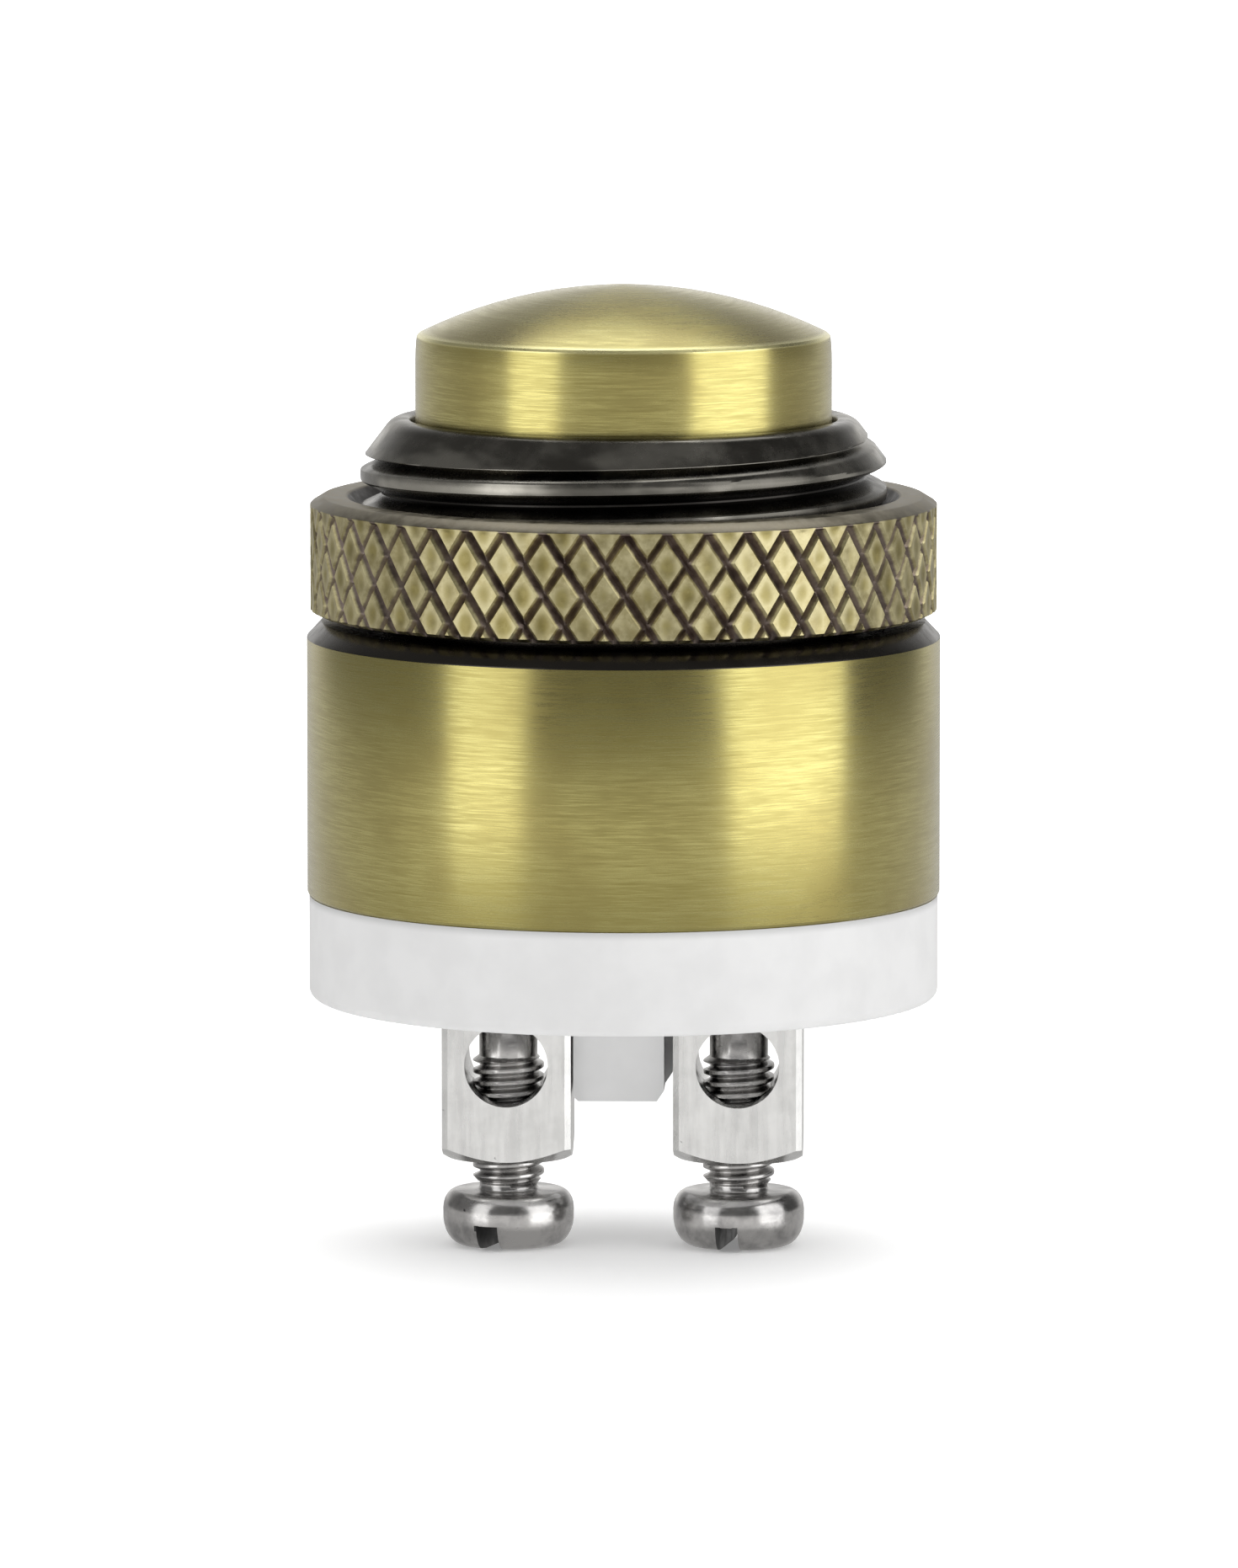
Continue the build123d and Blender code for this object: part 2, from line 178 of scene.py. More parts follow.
# Brass, as reflectances
BRASS_DARK = (0.42, 0.35, 0.085)
BRASS_LIGHT = (0.65, 0.59, 0.225)
BRASS_AGED = (0.46, 0.39, 0.12)
# Bright brass for the button's edge: polish from handling and a painted highlight
BRASS_WORN_HIGHLIGHT = (0.95, 0.88, 0.42)

# Blackened neck, as reflectances
NECK_DARK = (0.125, 0.119, 0.104)
NECK_LIGHT = (0.175, 0.166, 0.148)
NECK_WORN = (0.36, 0.345, 0.305)
# Painted shade for the thread's grooves
NECK_GROOVE_PAINTED_SHADE = (0.03, 0.028, 0.026)
# Painted shade for the shoulder and top chamfer in the gap under the nut, darker than the blackened finish
SHOULDER_PAINTED_SHADE = (0.07, 0.064, 0.056)

# Lock nut, as the darkest and lightest reflectance of each region
DIAMOND_BORDER = ((0.40, 0.345, 0.17), (0.72, 0.655, 0.39))
DIAMOND_CENTRE = ((0.24, 0.20, 0.07), (0.42, 0.36, 0.15))
DEEP_GROOVE_BROWN = ((0.16, 0.125, 0.11), (0.31, 0.255, 0.22))
SHALLOW_GROOVE_BROWN = ((0.20, 0.16, 0.12), (0.34, 0.28, 0.20))
NUT_RIM_BRASS = ((0.24, 0.215, 0.16), (0.38, 0.345, 0.27))
# Painted shade for the nut's countersink and bore
COUNTERSINK_PAINTED_SHADE = (0.06, 0.055, 0.05)

# White mouldings, as reflectances
BASE_WHITE = (0.75, 0.75, 0.75)
CARRIER_WHITE = (0.74, 0.73, 0.70)

# Metals: darkest and lightest reflectance, least and most roughness, scratches in cycles a metre
NICKEL_PLATE = ((0.80, 0.80, 0.79), (0.92, 0.92, 0.91), 0.20, 0.30, (2500, 2500, 250))
TURNED_STEEL = ((0.28, 0.275, 0.275), (0.56, 0.55, 0.54), 0.16, 0.28, (900, 900, 5200))
# Near-black steel that paints the shade inside the screws' slots
SLOT_PAINTED_SHADE_STEEL = ((0.04, 0.04, 0.04), (0.10, 0.10, 0.10), 0.4, 0.6, (900, 900, 900))
SPRING_STEEL = ((0.42, 0.42, 0.42), (0.60, 0.60, 0.60), 0.2, 0.3, (900, 900, 900))
BRONZE_STRIP = ((0.52, 0.30, 0.16), (0.70, 0.46, 0.27), 0.22, 0.36, (4000, 300, 300))
CONTACT_SILVER = ((0.74, 0.73, 0.70), (0.88, 0.87, 0.84), 0.15, 0.25, (2000, 2000, 2000))

# Heights of marks that the finishes follow
SHOULDER_HEIGHT = 26.43 * MM
BUTTON_EDGE_HEIGHT = 38.42 * MM
NOSE_CONE_HEIGHT = 33.2 * MM
BASE_TOP_SHADE = (14.55 * MM, 14.95 * MM)


def steps_for(radius):
    """Steps round a full turn that keep the outline smooth at this radius."""
    return SMALL_STEPS if radius < SMALL_RADIUS else LARGE_STEPS


def finish_mesh(name, bm, materials, body, sharp_degrees=32.0):
    """Turn a bmesh into a finished piece that rides on a body."""
    bmesh.ops.remove_doubles(bm, verts=bm.verts, dist=MERGE)
    bmesh.ops.recalc_face_normals(bm, faces=bm.faces)
    limit = math.radians(sharp_degrees)
    for edge in bm.edges:
        if len(edge.link_faces) == 2:
            edge.smooth = edge.calc_face_angle() < limit
    for face in bm.faces:
        face.smooth = True
    mesh = bpy.data.meshes.new(name)
    bm.to_mesh(mesh)
    bm.free()
    for material in materials:
        mesh.materials.append(material)
    piece = bpy.data.objects.new(name, mesh)
    bpy.context.scene.collection.objects.link(piece)
    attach(piece, body)
    return piece


def add_chain(bm, points):
    """A chain of vertices in the XZ plane through (radius, height) points."""
    verts = [bm.verts.new((radius, 0, height)) for radius, height in points]
    edges = [bm.edges.new(pair) for pair in zip(verts, verts[1:])]
    return verts + edges


def add_spun(bm, points, steps):
    """Spin a chain of (radius, height) points once round the Z axis."""
    geometry = add_chain(bm, points)
    bmesh.ops.spin(
        bm, geom=geometry, cent=(0, 0, 0), axis=(0, 0, 1), dvec=(0, 0, 0),
        angle=math.tau, steps=steps, use_merge=True, use_duplicate=False,
    )


def thread_profile(phase, crest, depth):
    """Radius of a rounded V thread, where phase 0 is the middle of the crest."""
    away = abs((phase + 0.5) % 1.0 - 0.5) * 2
    crown = min(away / CREST_SHARE, 1.0) ** 2
    rise = min(max((away - CREST_SHARE) / (FLANK_END_SHARE - CREST_SHARE), 0.0), 1.0)
    eased = rise * rise * (3 - 2 * rise)
    return crest - depth * (CROWN_DROP * crown + STRAIGHT_DROP * rise + EASED_DROP * eased)


def add_thread(bm, low, high, crest, depth, pitch, crest_height, steps, envelope, last_groove=0.0):
    """Right-hand thread between two heights, kept inside envelope(height).

    crest_height is where the top turn's crest starts, on the +X side. The groove
    under that turn is narrower by last_groove, a share of the pitch.
    """
    first = math.floor((low - crest_height) / pitch) - 2
    last = math.ceil((high - crest_height) / pitch) + 1
    below_crest = [-mark / 2 for mark in reversed(THREAD_MARKS[1:])]
    above_crest = [mark / 2 for mark in THREAD_MARKS]
    phases = below_crest + above_crest + [0.5]
    points = [
        (thread_profile(phase, crest, depth), crest_height + (turn + phase) * pitch)
        for turn in range(first, last + 1)
        for phase in phases
    ]
    geometry = add_chain(bm, points)
    bmesh.ops.spin(
        bm, geom=geometry, cent=(0, 0, 0), axis=(0, 0, 1),
        dvec=(0, 0, pitch / steps), angle=math.tau, steps=steps,
        use_merge=False, use_duplicate=False,
    )
    for vert in bm.verts:
        height = min(max(vert.co.z, low), high)
        radius = math.hypot(vert.co.x, vert.co.y)
        reach = radius
        turned = (math.atan2(vert.co.y, vert.co.x) / math.tau) % 1.0
        phase = (vert.co.z - crest_height) / pitch - turned
        if last_groove and -0.5 < phase < 0:
            narrower = last_groove * min(turned * 6, (1 - turned) * 5, 1.0)
            reach = max(radius, thread_profile(min(phase + narrower, 0.0), crest, depth))
        scale = min(reach, envelope(height)) / radius
        vert.co = Vector((vert.co.x * scale, vert.co.y * scale, height))
    bmesh.ops.remove_doubles(bm, verts=bm.verts, dist=MERGE)
    bmesh.ops.dissolve_degenerate(bm, edges=bm.edges, dist=MERGE)


def nose_bead(top):
    """Rounded edge between the nose's flat and its cone."""
    span = NOSE_CONE_ANGLE - math.pi / 2
    turns = [math.pi / 2 + span * index / NOSE_BEAD_STEPS for index in range(NOSE_BEAD_STEPS + 1)]
    return [
        (
            NOSE_FLAT_RADIUS + NOSE_BEAD_RADIUS * math.cos(turn),
            top - NOSE_BEAD_RADIUS * (1 - math.sin(turn)),
        )
        for turn in turns
    ]


def barrel_outline(radius, bottom, shoulder, top):
    """Outline of the barrel from the neck's relief down, up the bore and over the nose."""
    bore = radius - BARREL_WALL
    lip_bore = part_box("button_cap")[1].x - BUTTON_FLANGE + BUTTON_CLEARANCE
    chamfer = shoulder - BARREL_CHAMFER_HEIGHT
    foot = bottom + BARREL_FOOT_CHAMFER
    roof = shoulder - BARREL_ROOF
    lip = top - LIP_THICKNESS
    softness = 0.03 * MM
    outside = [
        (NECK_RELIEF_RADIUS, shoulder),
        (radius - BARREL_CHAMFER_WIDTH - 0.04 * MM, shoulder),
        (radius - BARREL_CHAMFER_WIDTH, shoulder - softness / 2),
        (radius - softness, chamfer + softness),
        (radius, chamfer - softness),
        (radius, foot + 0.04 * MM),
        (radius - softness, foot - softness),
        (radius - BARREL_FOOT_CHAMFER, bottom),
    ]
    inside = [
        (bore + BORE_CHAMFER, bottom),
        (bore, bottom + BORE_CHAMFER),
        (bore, roof),
        (NECK_BORE, roof),
        (NECK_BORE, lip),
        (lip_bore, lip),
        (lip_bore, top - 0.15 * MM),
        (lip_bore + 0.05 * MM, top - 0.05 * MM),
        (lip_bore + 0.15 * MM, top),
    ]
    return outside + inside + nose_bead(top)


def make_barrel(brass, black):
    """Barrel, its threaded neck, the chamfered nose and the bore inside."""
    low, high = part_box("barrel")
    radius = high.x
    steps = steps_for(radius)
    shoulder = high.z - NECK_LENGTH
    relief_top = shoulder + NECK_RELIEF_HEIGHT
    bead_low = high.z - NOSE_BEAD_RADIUS * (1 - math.sin(NOSE_CONE_ANGLE))
    bead_reach = NOSE_FLAT_RADIUS + NOSE_BEAD_RADIUS * math.cos(NOSE_CONE_ANGLE)
    nose_low = bead_low - 0.02 * MM

    def envelope(height):
        """Largest radius of the thread at a height, between the relief and the cone."""
        cone = bead_reach + (bead_low - height) * math.tan(NOSE_CONE_ANGLE)
        relief = NECK_RELIEF_RADIUS + max(height - relief_top, 0) * 2
        return min(cone, relief)

    bm = bmesh.new()
    add_thread(
        bm, shoulder, nose_low, NECK_RADIUS, NECK_THREAD_DEPTH, NECK_PITCH,
        NECK_CREST_AT_FRONT + NECK_PITCH / 4, steps, envelope, NECK_LAST_GROOVE,
    )
    outline = barrel_outline(radius, low.z, shoulder, high.z)
    add_spun(bm, outline + [(envelope(nose_low), nose_low)], steps)
    bmesh.ops.remove_doubles(bm, verts=bm.verts, dist=MERGE)
    # The shoulder and top chamfer take the blackened material, whose painted shade turns them black
    for face in bm.faces:
        centre = face.calc_center_median()
        outside = math.hypot(centre.x, centre.y) > radius - 0.1 * MM
        brushed = outside and centre.z < shoulder - BARREL_CHAMFER_HEIGHT
        face.material_index = 0 if brushed else 1
    piece = finish_mesh("barrel_turned", bm, [brass, black], "housing")
    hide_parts("barrel")


def groove_depth(across, half_width, depth):
    """Depth of a V groove with a rounded floor, at a share of the groove spacing."""
    away = min(across % 1.0, 1 - across % 1.0)
    share = max(1 - away / half_width, 0.0)
    return depth * share * (1.25 - 0.25 * share)


def remap_cell(value):
    """Move an evenly spaced grid line to the marks that follow the grooves' edges."""
    count = len(CELL_MARKS)
    line = round(value * count)
    whole, part = divmod(line, count)
    return whole + CELL_MARKS[part]


def knurl_column(low, high, crossing):
    """One column of diamonds between two heights, bent to the nut's rim."""
    segments = KNURL_UNITS * len(CELL_MARKS)
    half = KNURL_UNITS / 2
    bm = bmesh.new()
    bmesh.ops.create_grid(bm, x_segments=segments, y_segments=segments, size=half)
    for vert in bm.verts:
        right = remap_cell(vert.co.x + half) - half
        left = remap_cell(vert.co.y + half) - half
        vert.co = Vector(((right + left) / 2 * KNURL_WIDTH, (right - left) / 2 * KNURL_PERIOD, 0))
    cuts = (
        ((0, 0, 0), (-1, 0, 0)),
        ((KNURL_WIDTH, 0, 0), (1, 0, 0)),
        ((0, low - crossing, 0), (0, -1, 0)),
        ((0, high - crossing, 0), (0, 1, 0)),
        ((0, -KNURL_FADE, 0), None),
        ((0, 0, 0), None),
    )
    for point, normal in cuts:
        geometry = list(bm.verts) + list(bm.edges) + list(bm.faces)
        bmesh.ops.bisect_plane(
            bm, geom=geometry, dist=MERGE / 20, plane_co=point,
            plane_no=normal or (0, 1, 0), clear_outer=normal is not None,
        )
    for vert in bm.verts:
        right = vert.co.x / KNURL_WIDTH + vert.co.y / KNURL_PERIOD
        left = vert.co.x / KNURL_WIDTH - vert.co.y / KNURL_PERIOD
        deep = groove_depth(right, DEEP_HALF_WIDTH, DEEP_GROOVE)
        shallow = groove_depth(left, SHALLOW_HALF_WIDTH, SHALLOW_GROOVE)
        middle = math.sin(math.pi * (right % 1.0)) * math.sin(math.pi * (left % 1.0))
        depth = max(deep, shallow) + DIMPLE_DEPTH * max(middle, 0) ** 3
        fade = min(max(-vert.co.y / KNURL_FADE, 0.0), 1.0)
        angle = (vert.co.x + KNURL_TURN * KNURL_WIDTH) / NUT_RADIUS - math.pi / 2
        reach = NUT_RADIUS - depth * fade
        height = crossing + vert.co.y
        vert.co = Vector((reach * math.cos(angle), reach * math.sin(angle), height))
    return bm


def open_loop(bm, height):
    """The open edges that lie at one height."""
    return [
        edge for edge in bm.edges
        if edge.is_boundary and all(abs(v.co.z - height) < MERGE for v in edge.verts)
    ]


def grow_ring(bm, edges, radius, height):
    """Extrude an open loop and set its new vertices on a circle."""
    grown = bmesh.ops.extrude_edge_only(bm, edges=edges)["geom"]
    for vert in grown:
        if isinstance(vert, bmesh.types.BMVert):
            scale = radius / math.hypot(vert.co.x, vert.co.y)
            vert.co = Vector((vert.co.x * scale, vert.co.y * scale, height))
    return [edge for edge in grown if isinstance(edge, bmesh.types.BMEdge)]


def make_nut(brass):
    """Knurled lock nut with its rim, its countersink and its bore."""
    low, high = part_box("lock_nut")
    rim = high.z - NUT_RIM_HEIGHT
    skirt = low.z + NUT_SKIRT_HEIGHT
    bm = knurl_column(skirt, rim, high.z - KNURL_TOP_DROP)
    column = list(bm.verts) + list(bm.edges) + list(bm.faces)
    for index in range(1, KNURL_COLUMNS):
        copy = bmesh.ops.duplicate(bm, geom=column)["geom"]
        verts = [item for item in copy if isinstance(item, bmesh.types.BMVert)]
        turn = Matrix.Rotation(index * math.tau / KNURL_COLUMNS, 3, "Z")
        bmesh.ops.rotate(bm, verts=verts, cent=(0, 0, 0), matrix=turn)
    bmesh.ops.remove_doubles(bm, verts=bm.verts, dist=MERGE)
    ring = open_loop(bm, rim)
    skirt_ring = open_loop(bm, skirt)
    rim_break = 0.06 * MM
    rim_to_top_and_bore = (
        (NUT_RADIUS - rim_break, rim + rim_break),
        (NUT_RADIUS - 0.50 * MM, high.z - 0.03 * MM),
        (NUT_RADIUS - 0.60 * MM, high.z),
        (NUT_BORE + 0.56 * MM, high.z),
        (NUT_BORE + 0.48 * MM, high.z - 0.04 * MM),
        (NUT_BORE, high.z - 0.6 * MM),
        (NUT_BORE, low.z + 0.3 * MM),
        (NUT_BORE + 0.3 * MM, low.z),
    )
    for reach, height in rim_to_top_and_bore:
        ring = grow_ring(bm, ring, reach, height)
    skirt_ring = grow_ring(bm, skirt_ring, NUT_RADIUS - NUT_SKIRT_DROP, low.z)
    bmesh.ops.bridge_loops(bm, edges=ring + skirt_ring)
    piece = finish_mesh("lock_nut_knurled", bm, [brass], "nut", 24.0)
    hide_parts("lock_nut")


def cut_slot(name, bm, width, depth, length, angle):
    """Cut a straight slot across the underside of a head and return the new bmesh."""
    head_mesh = bpy.data.meshes.new(name + "_blank")
    bm.to_mesh(head_mesh)
    bm.free()
    blank = bpy.data.objects.new(name + "_blank", head_mesh)
    tool_bm = bmesh.new()
    bmesh.ops.create_cube(tool_bm, size=1.0)
    bmesh.ops.scale(tool_bm, vec=(length, width, depth * 2), verts=tool_bm.verts)
    bmesh.ops.rotate(
        tool_bm, cent=(0, 0, 0), matrix=Matrix.Rotation(angle, 3, "Z"), verts=tool_bm.verts
    )
    tool_mesh = bpy.data.meshes.new(name + "_tool")
    tool_bm.to_mesh(tool_mesh)
    tool_bm.free()
    tool = bpy.data.objects.new(name + "_tool", tool_mesh)
    for item in (blank, tool):
        bpy.context.scene.collection.objects.link(item)
    cut = blank.modifiers.new("slot", "BOOLEAN")
    cut.operation = "DIFFERENCE"
    cut.solver = "EXACT"
    cut.object = tool
    bpy.context.view_layer.update()
    graph = bpy.context.evaluated_depsgraph_get()
    result = bpy.data.meshes.new_from_object(blank.evaluated_get(graph))
    slotted = bmesh.new()
    slotted.from_mesh(result)
    for item in (blank, tool):
        bpy.data.objects.remove(item)
    for mesh in (head_mesh, tool_mesh, result):
        bpy.data.meshes.remove(mesh)
    return slotted


def oval_arc(middle, half_size, degrees):
    """Points of an oval's edge, as (radius, height), at angles above the outward direction."""
    return [
        (
            middle[0] + half_size[0] * math.cos(math.radians(angle)),
            middle[1] + half_size[1] * math.sin(math.radians(angle)),
        )
        for angle in degrees
    ]


def screw_head_outline(thread_low):
    """Outline of the rounded head, from the middle of its end to the thread."""
    end_flat = [(0, 0), (1.5 * MM, 0), (1.95 * MM, 0.05 * MM)]
    lower = oval_arc((1.95 * MM, 1.25 * MM), (0.8 * MM, 1.2 * MM), range(-78, 0, 12))
    upper = oval_arc((2.2 * MM, 1.55 * MM), (0.55 * MM, 0.8 * MM), range(0, 90, 15))
    under_head = [
        (2.25 * MM, SCREW_HEAD_TOP),
        (1.5 * MM, SCREW_HEAD_TOP),
        (SCREW_NECK_RADIUS + 0.06 * MM, SCREW_HEAD_TOP + 0.03 * MM),
        (SCREW_NECK_RADIUS, SCREW_HEAD_TOP + 0.12 * MM),
        (SCREW_NECK_RADIUS, thread_low),
    ]
    return end_flat + lower + upper + under_head


def screw_tip_outline(top):
    """Outline of the plain rounded tip above the thread."""
    return [
        (SCREW_TIP_RADIUS, SCREW_THREAD_END),
        (SCREW_TIP_RADIUS, top - 0.3 * MM),
        (SCREW_TIP_RADIUS - 0.1 * MM, top - 0.1 * MM),
        (SCREW_TIP_RADIUS - 0.3 * MM, top),
        (0, top),
    ]


def paint_slot_shade(bm, angle):
    """Give the slot's walls and floor the second material, a near-black steel that paints the shade inside
    the slot.
    """
    for face in bm.faces:
        middle = face.calc_center_median()
        across = abs(middle.y * math.cos(angle) - middle.x * math.sin(angle))
        in_depth = MERGE < middle.z < SLOT_DEPTH + MERGE
        in_slot = in_depth and across < SLOT_WIDTH / 2 + MERGE
        face.material_index = 1 if in_slot else 0


def make_screw(side, steel, slot_shade_steel):
    """Clamp screw with its thread, plain tip, rounded head and slot."""
    low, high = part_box("clamp_screw_" + side)
    steps = steps_for(SCREW_HEAD_RADIUS)
    thread_low = SCREW_HEAD_TOP + SCREW_NECK_LENGTH

    def envelope(height):
        """Largest radius of the thread at a height, which runs out at both ends."""
        rise = SCREW_NECK_RADIUS + (height - thread_low) * 0.9
        fall = SCREW_TIP_RADIUS + (SCREW_THREAD_END - height) * 1.4
        return min(rise, fall)

    bm = bmesh.new()
    add_thread(
        bm, thread_low, SCREW_THREAD_END, SCREW_RADIUS, SCREW_THREAD_DEPTH, SCREW_PITCH,
        thread_low, steps, envelope,
    )
    add_spun(bm, screw_tip_outline(high.z), steps)
    add_spun(bm, screw_head_outline(thread_low), steps)
    bmesh.ops.remove_doubles(bm, verts=bm.verts, dist=MERGE)
    bmesh.ops.recalc_face_normals(bm, faces=bm.faces)
    name = "clamp_screw_threaded_" + side
    angle = math.radians(SLOT_DEGREES[side])
    bm = cut_slot(name, bm, SLOT_WIDTH, SLOT_DEPTH, 3 * SCREW_HEAD_RADIUS, angle)
    paint_slot_shade(bm, angle)
    centre = (low.x + high.x) / 2
    bmesh.ops.translate(bm, vec=(centre, 0, 0), verts=bm.verts)
    piece = finish_mesh(name, bm, [steel, slot_shade_steel], side + "_screw", 40.0)
    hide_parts("clamp_screw_" + side)


def make_return_spring(steel):
    """Round-wire return spring, built as a fixed coil on the housing; the real spring shortens as the
    button goes down.
    """
    low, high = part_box("return_spring")
    height = high.z - low.z
    steps = SPRING_TURNS * SPRING_STEPS_A_TURN
    rise = (height - 2 * SPRING_WIRE_RADIUS) / steps
    bm = bmesh.new()
    wire = bmesh.ops.create_circle(
        bm, cap_ends=False, segments=SPRING_WIRE_SIDES, radius=SPRING_WIRE_RADIUS,
    )["verts"]
    upright = Matrix.Rotation(math.pi / 2, 3, "X")
    bmesh.ops.rotate(bm, verts=wire, cent=(0, 0, 0), matrix=upright)
    start = (high.x - SPRING_WIRE_RADIUS, 0, low.z + SPRING_WIRE_RADIUS)
    bmesh.ops.translate(bm, verts=wire, vec=start)
    bmesh.ops.spin(
        bm, geom=list(bm.verts) + list(bm.edges), cent=(0, 0, 0), axis=(0, 0, 1),
        dvec=(0, 0, rise), angle=math.tau * SPRING_TURNS, steps=steps,
        use_merge=False, use_duplicate=False,
    )
    open_edges = [edge for edge in bm.edges if edge.is_boundary]
    bmesh.ops.holes_fill(bm, edges=open_edges, sides=SPRING_WIRE_SIDES)
    piece = finish_mesh("return_spring_coil", bm, [steel], "housing", 60.0)
    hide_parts("return_spring")
    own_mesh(piece)


class Shader:
    """A Principled material and short ways to add nodes to it."""

    def __init__(self, name, **constants):
        self.material = bpy.data.materials.new(name)
        self.material.use_nodes = True
        self.nodes = self.material.node_tree.nodes
        self.links = self.material.node_tree.links
        self.surface = self.nodes["Principled BSDF"]
        for socket, value in constants.items():
            self.surface.inputs[socket.replace("_", " ")].default_value = value
        coordinates = self.nodes.new("ShaderNodeTexCoord")
        self.position = coordinates.outputs["Object"]

    def scaled(self, scale, source=None):
        """Position, or another vector, stretched along X, Y and Z."""
        mapping = self.nodes.new("ShaderNodeMapping")
        mapping.inputs["Scale"].default_value = scale
        self.links.new(source or self.position, mapping.inputs["Vector"])
        return mapping.outputs["Vector"]

    def lathe_position(self):
        """Position whose height also grows with the radius, for marks left by a lathe."""
        x, y, z = self.separate()
        node = self.nodes.new("ShaderNodeCombineXYZ")
        for socket, value in zip(node.inputs, (x, y, self.math("ADD", z, self.radius()))):
            self.links.new(value, socket)
        return node.outputs[0]

    def noise(self, scale, detail=4.0, roughness=0.55, source=None):
        """Noise whose scale is given in cycles a metre along X, Y and Z."""
        texture = self.nodes.new("ShaderNodeTexNoise")
        texture.inputs["Scale"].default_value = 1.0
        texture.inputs["Detail"].default_value = detail
        texture.inputs["Roughness"].default_value = roughness
        self.links.new(self.scaled(scale, source), texture.inputs["Vector"])
        return texture.outputs["Fac"]

    def math(self, operation, first, second=None):
        """One sum on numbers or sockets."""
        node = self.nodes.new("ShaderNodeMath")
        node.operation = operation
        for index, value in enumerate((first, second)):
            if value is None:
                continue
            if isinstance(value, (int, float)):
                node.inputs[index].default_value = value
            else:
                self.links.new(value, node.inputs[index])
        return node.outputs[0]

    def spread(self, value, low, high, to_low=0.0, to_high=1.0):
        """Map a value's range to another range, smoothly and clamped."""
        node = self.nodes.new("ShaderNodeMapRange")
        node.interpolation_type = "SMOOTHSTEP"
        node.inputs["From Min"].default_value = low
        node.inputs["From Max"].default_value = high
        node.inputs["To Min"].default_value = to_low
        node.inputs["To Max"].default_value = to_high
        self.links.new(value, node.inputs["Value"])
        return node.outputs["Result"]

    def blend(self, factor, first, second):
        """Mix two colours, each a colour or a socket."""
        node = self.nodes.new("ShaderNodeMix")
        node.data_type = "RGBA"
        self.links.new(factor, node.inputs["Factor"])
        for index, value in zip(MIX_COLOUR_INPUTS, (first, second)):
            if isinstance(value, tuple):
                node.inputs[index].default_value = value + (1.0,)
            else:
                self.links.new(value, node.inputs[index])
        return node.outputs[MIX_COLOUR_OUTPUT]

    def separate(self):
        """The position's X, Y and Z."""
        node = self.nodes.new("ShaderNodeSeparateXYZ")
        self.links.new(self.position, node.inputs[0])
        return node.outputs

    def radius(self):
        """Distance from the part's axis."""
        x, y, _ = self.separate()
        squares = self.math("ADD", self.math("MULTIPLY", x, x), self.math("MULTIPLY", y, y))
        return self.math("SQRT", squares)

    def colour(self, socket):
        """Take the base colour from a socket."""
        self.links.new(socket, self.surface.inputs["Base Color"])

    def roughness(self, socket):
        """Take the roughness from a socket."""
        self.links.new(socket, self.surface.inputs["Roughness"])

    def bump(self, height, strength, distance):
        """Raise and sink the surface's shading by a height."""
        node = self.nodes.new("ShaderNodeBump")
        node.inputs["Strength"].default_value = strength
        node.inputs["Distance"].default_value = distance
        self.links.new(height, node.inputs["Height"])
        self.links.new(node.outputs["Normal"], self.surface.inputs["Normal"])

    def brushed_round(self):
        """Point the anisotropy round the axis."""
        tangent = self.nodes.new("ShaderNodeTangent")
        tangent.direction_type = "RADIAL"
        tangent.axis = "Z"
        self.links.new(tangent.outputs[0], self.surface.inputs["Tangent"])


def brushed_brass(name, contrast, highlit_worn_edge=None):
    """Aged brass brushed round the axis, with streaks that also run round on a dome.

    The last argument is the height of an edge that handling has polished; the bright band there is also a
    painted highlight.
    """
    shader = Shader(
        name, Metallic=1.0, Anisotropic=0.7, Anisotropic_Rotation=0.25,
        Coat_Weight=0.7, Coat_Roughness=0.3,
    )
    lathe = shader.lathe_position()
    fine = shader.noise((750, 750, 17000), 3.0, 0.6, lathe)
    long = shader.noise((260, 260, 8000), 3.0, 0.6, lathe)
    cloud = shader.noise((260, 260, 260), 3.0, 0.5)
    streak = shader.math("ADD", shader.math("MULTIPLY", fine, 0.55), shader.math("MULTIPLY", long, 0.45))
    tone = shader.spread(streak, 0.5 - contrast, 0.5 + contrast)
    brass = shader.blend(tone, BRASS_DARK, BRASS_LIGHT)
    finish = shader.blend(shader.spread(cloud, 0.40, 0.72), brass, BRASS_AGED)
    if highlit_worn_edge:
        height = shader.separate()[2]
        off_edge = shader.math("ABSOLUTE", shader.math("SUBTRACT", height, highlit_worn_edge))
        # Bright band at the edge: polish from handling and a painted highlight
        finish = shader.blend(shader.spread(off_edge, 0.05 * MM, 0.16 * MM), BRASS_WORN_HIGHLIGHT, finish)
    shader.colour(finish)
    shader.roughness(shader.spread(streak, 0.35, 0.65, 0.34, 0.24))
    shader.bump(streak, 0.2, 0.004 * MM)
    shader.brushed_round()
    return shader.material


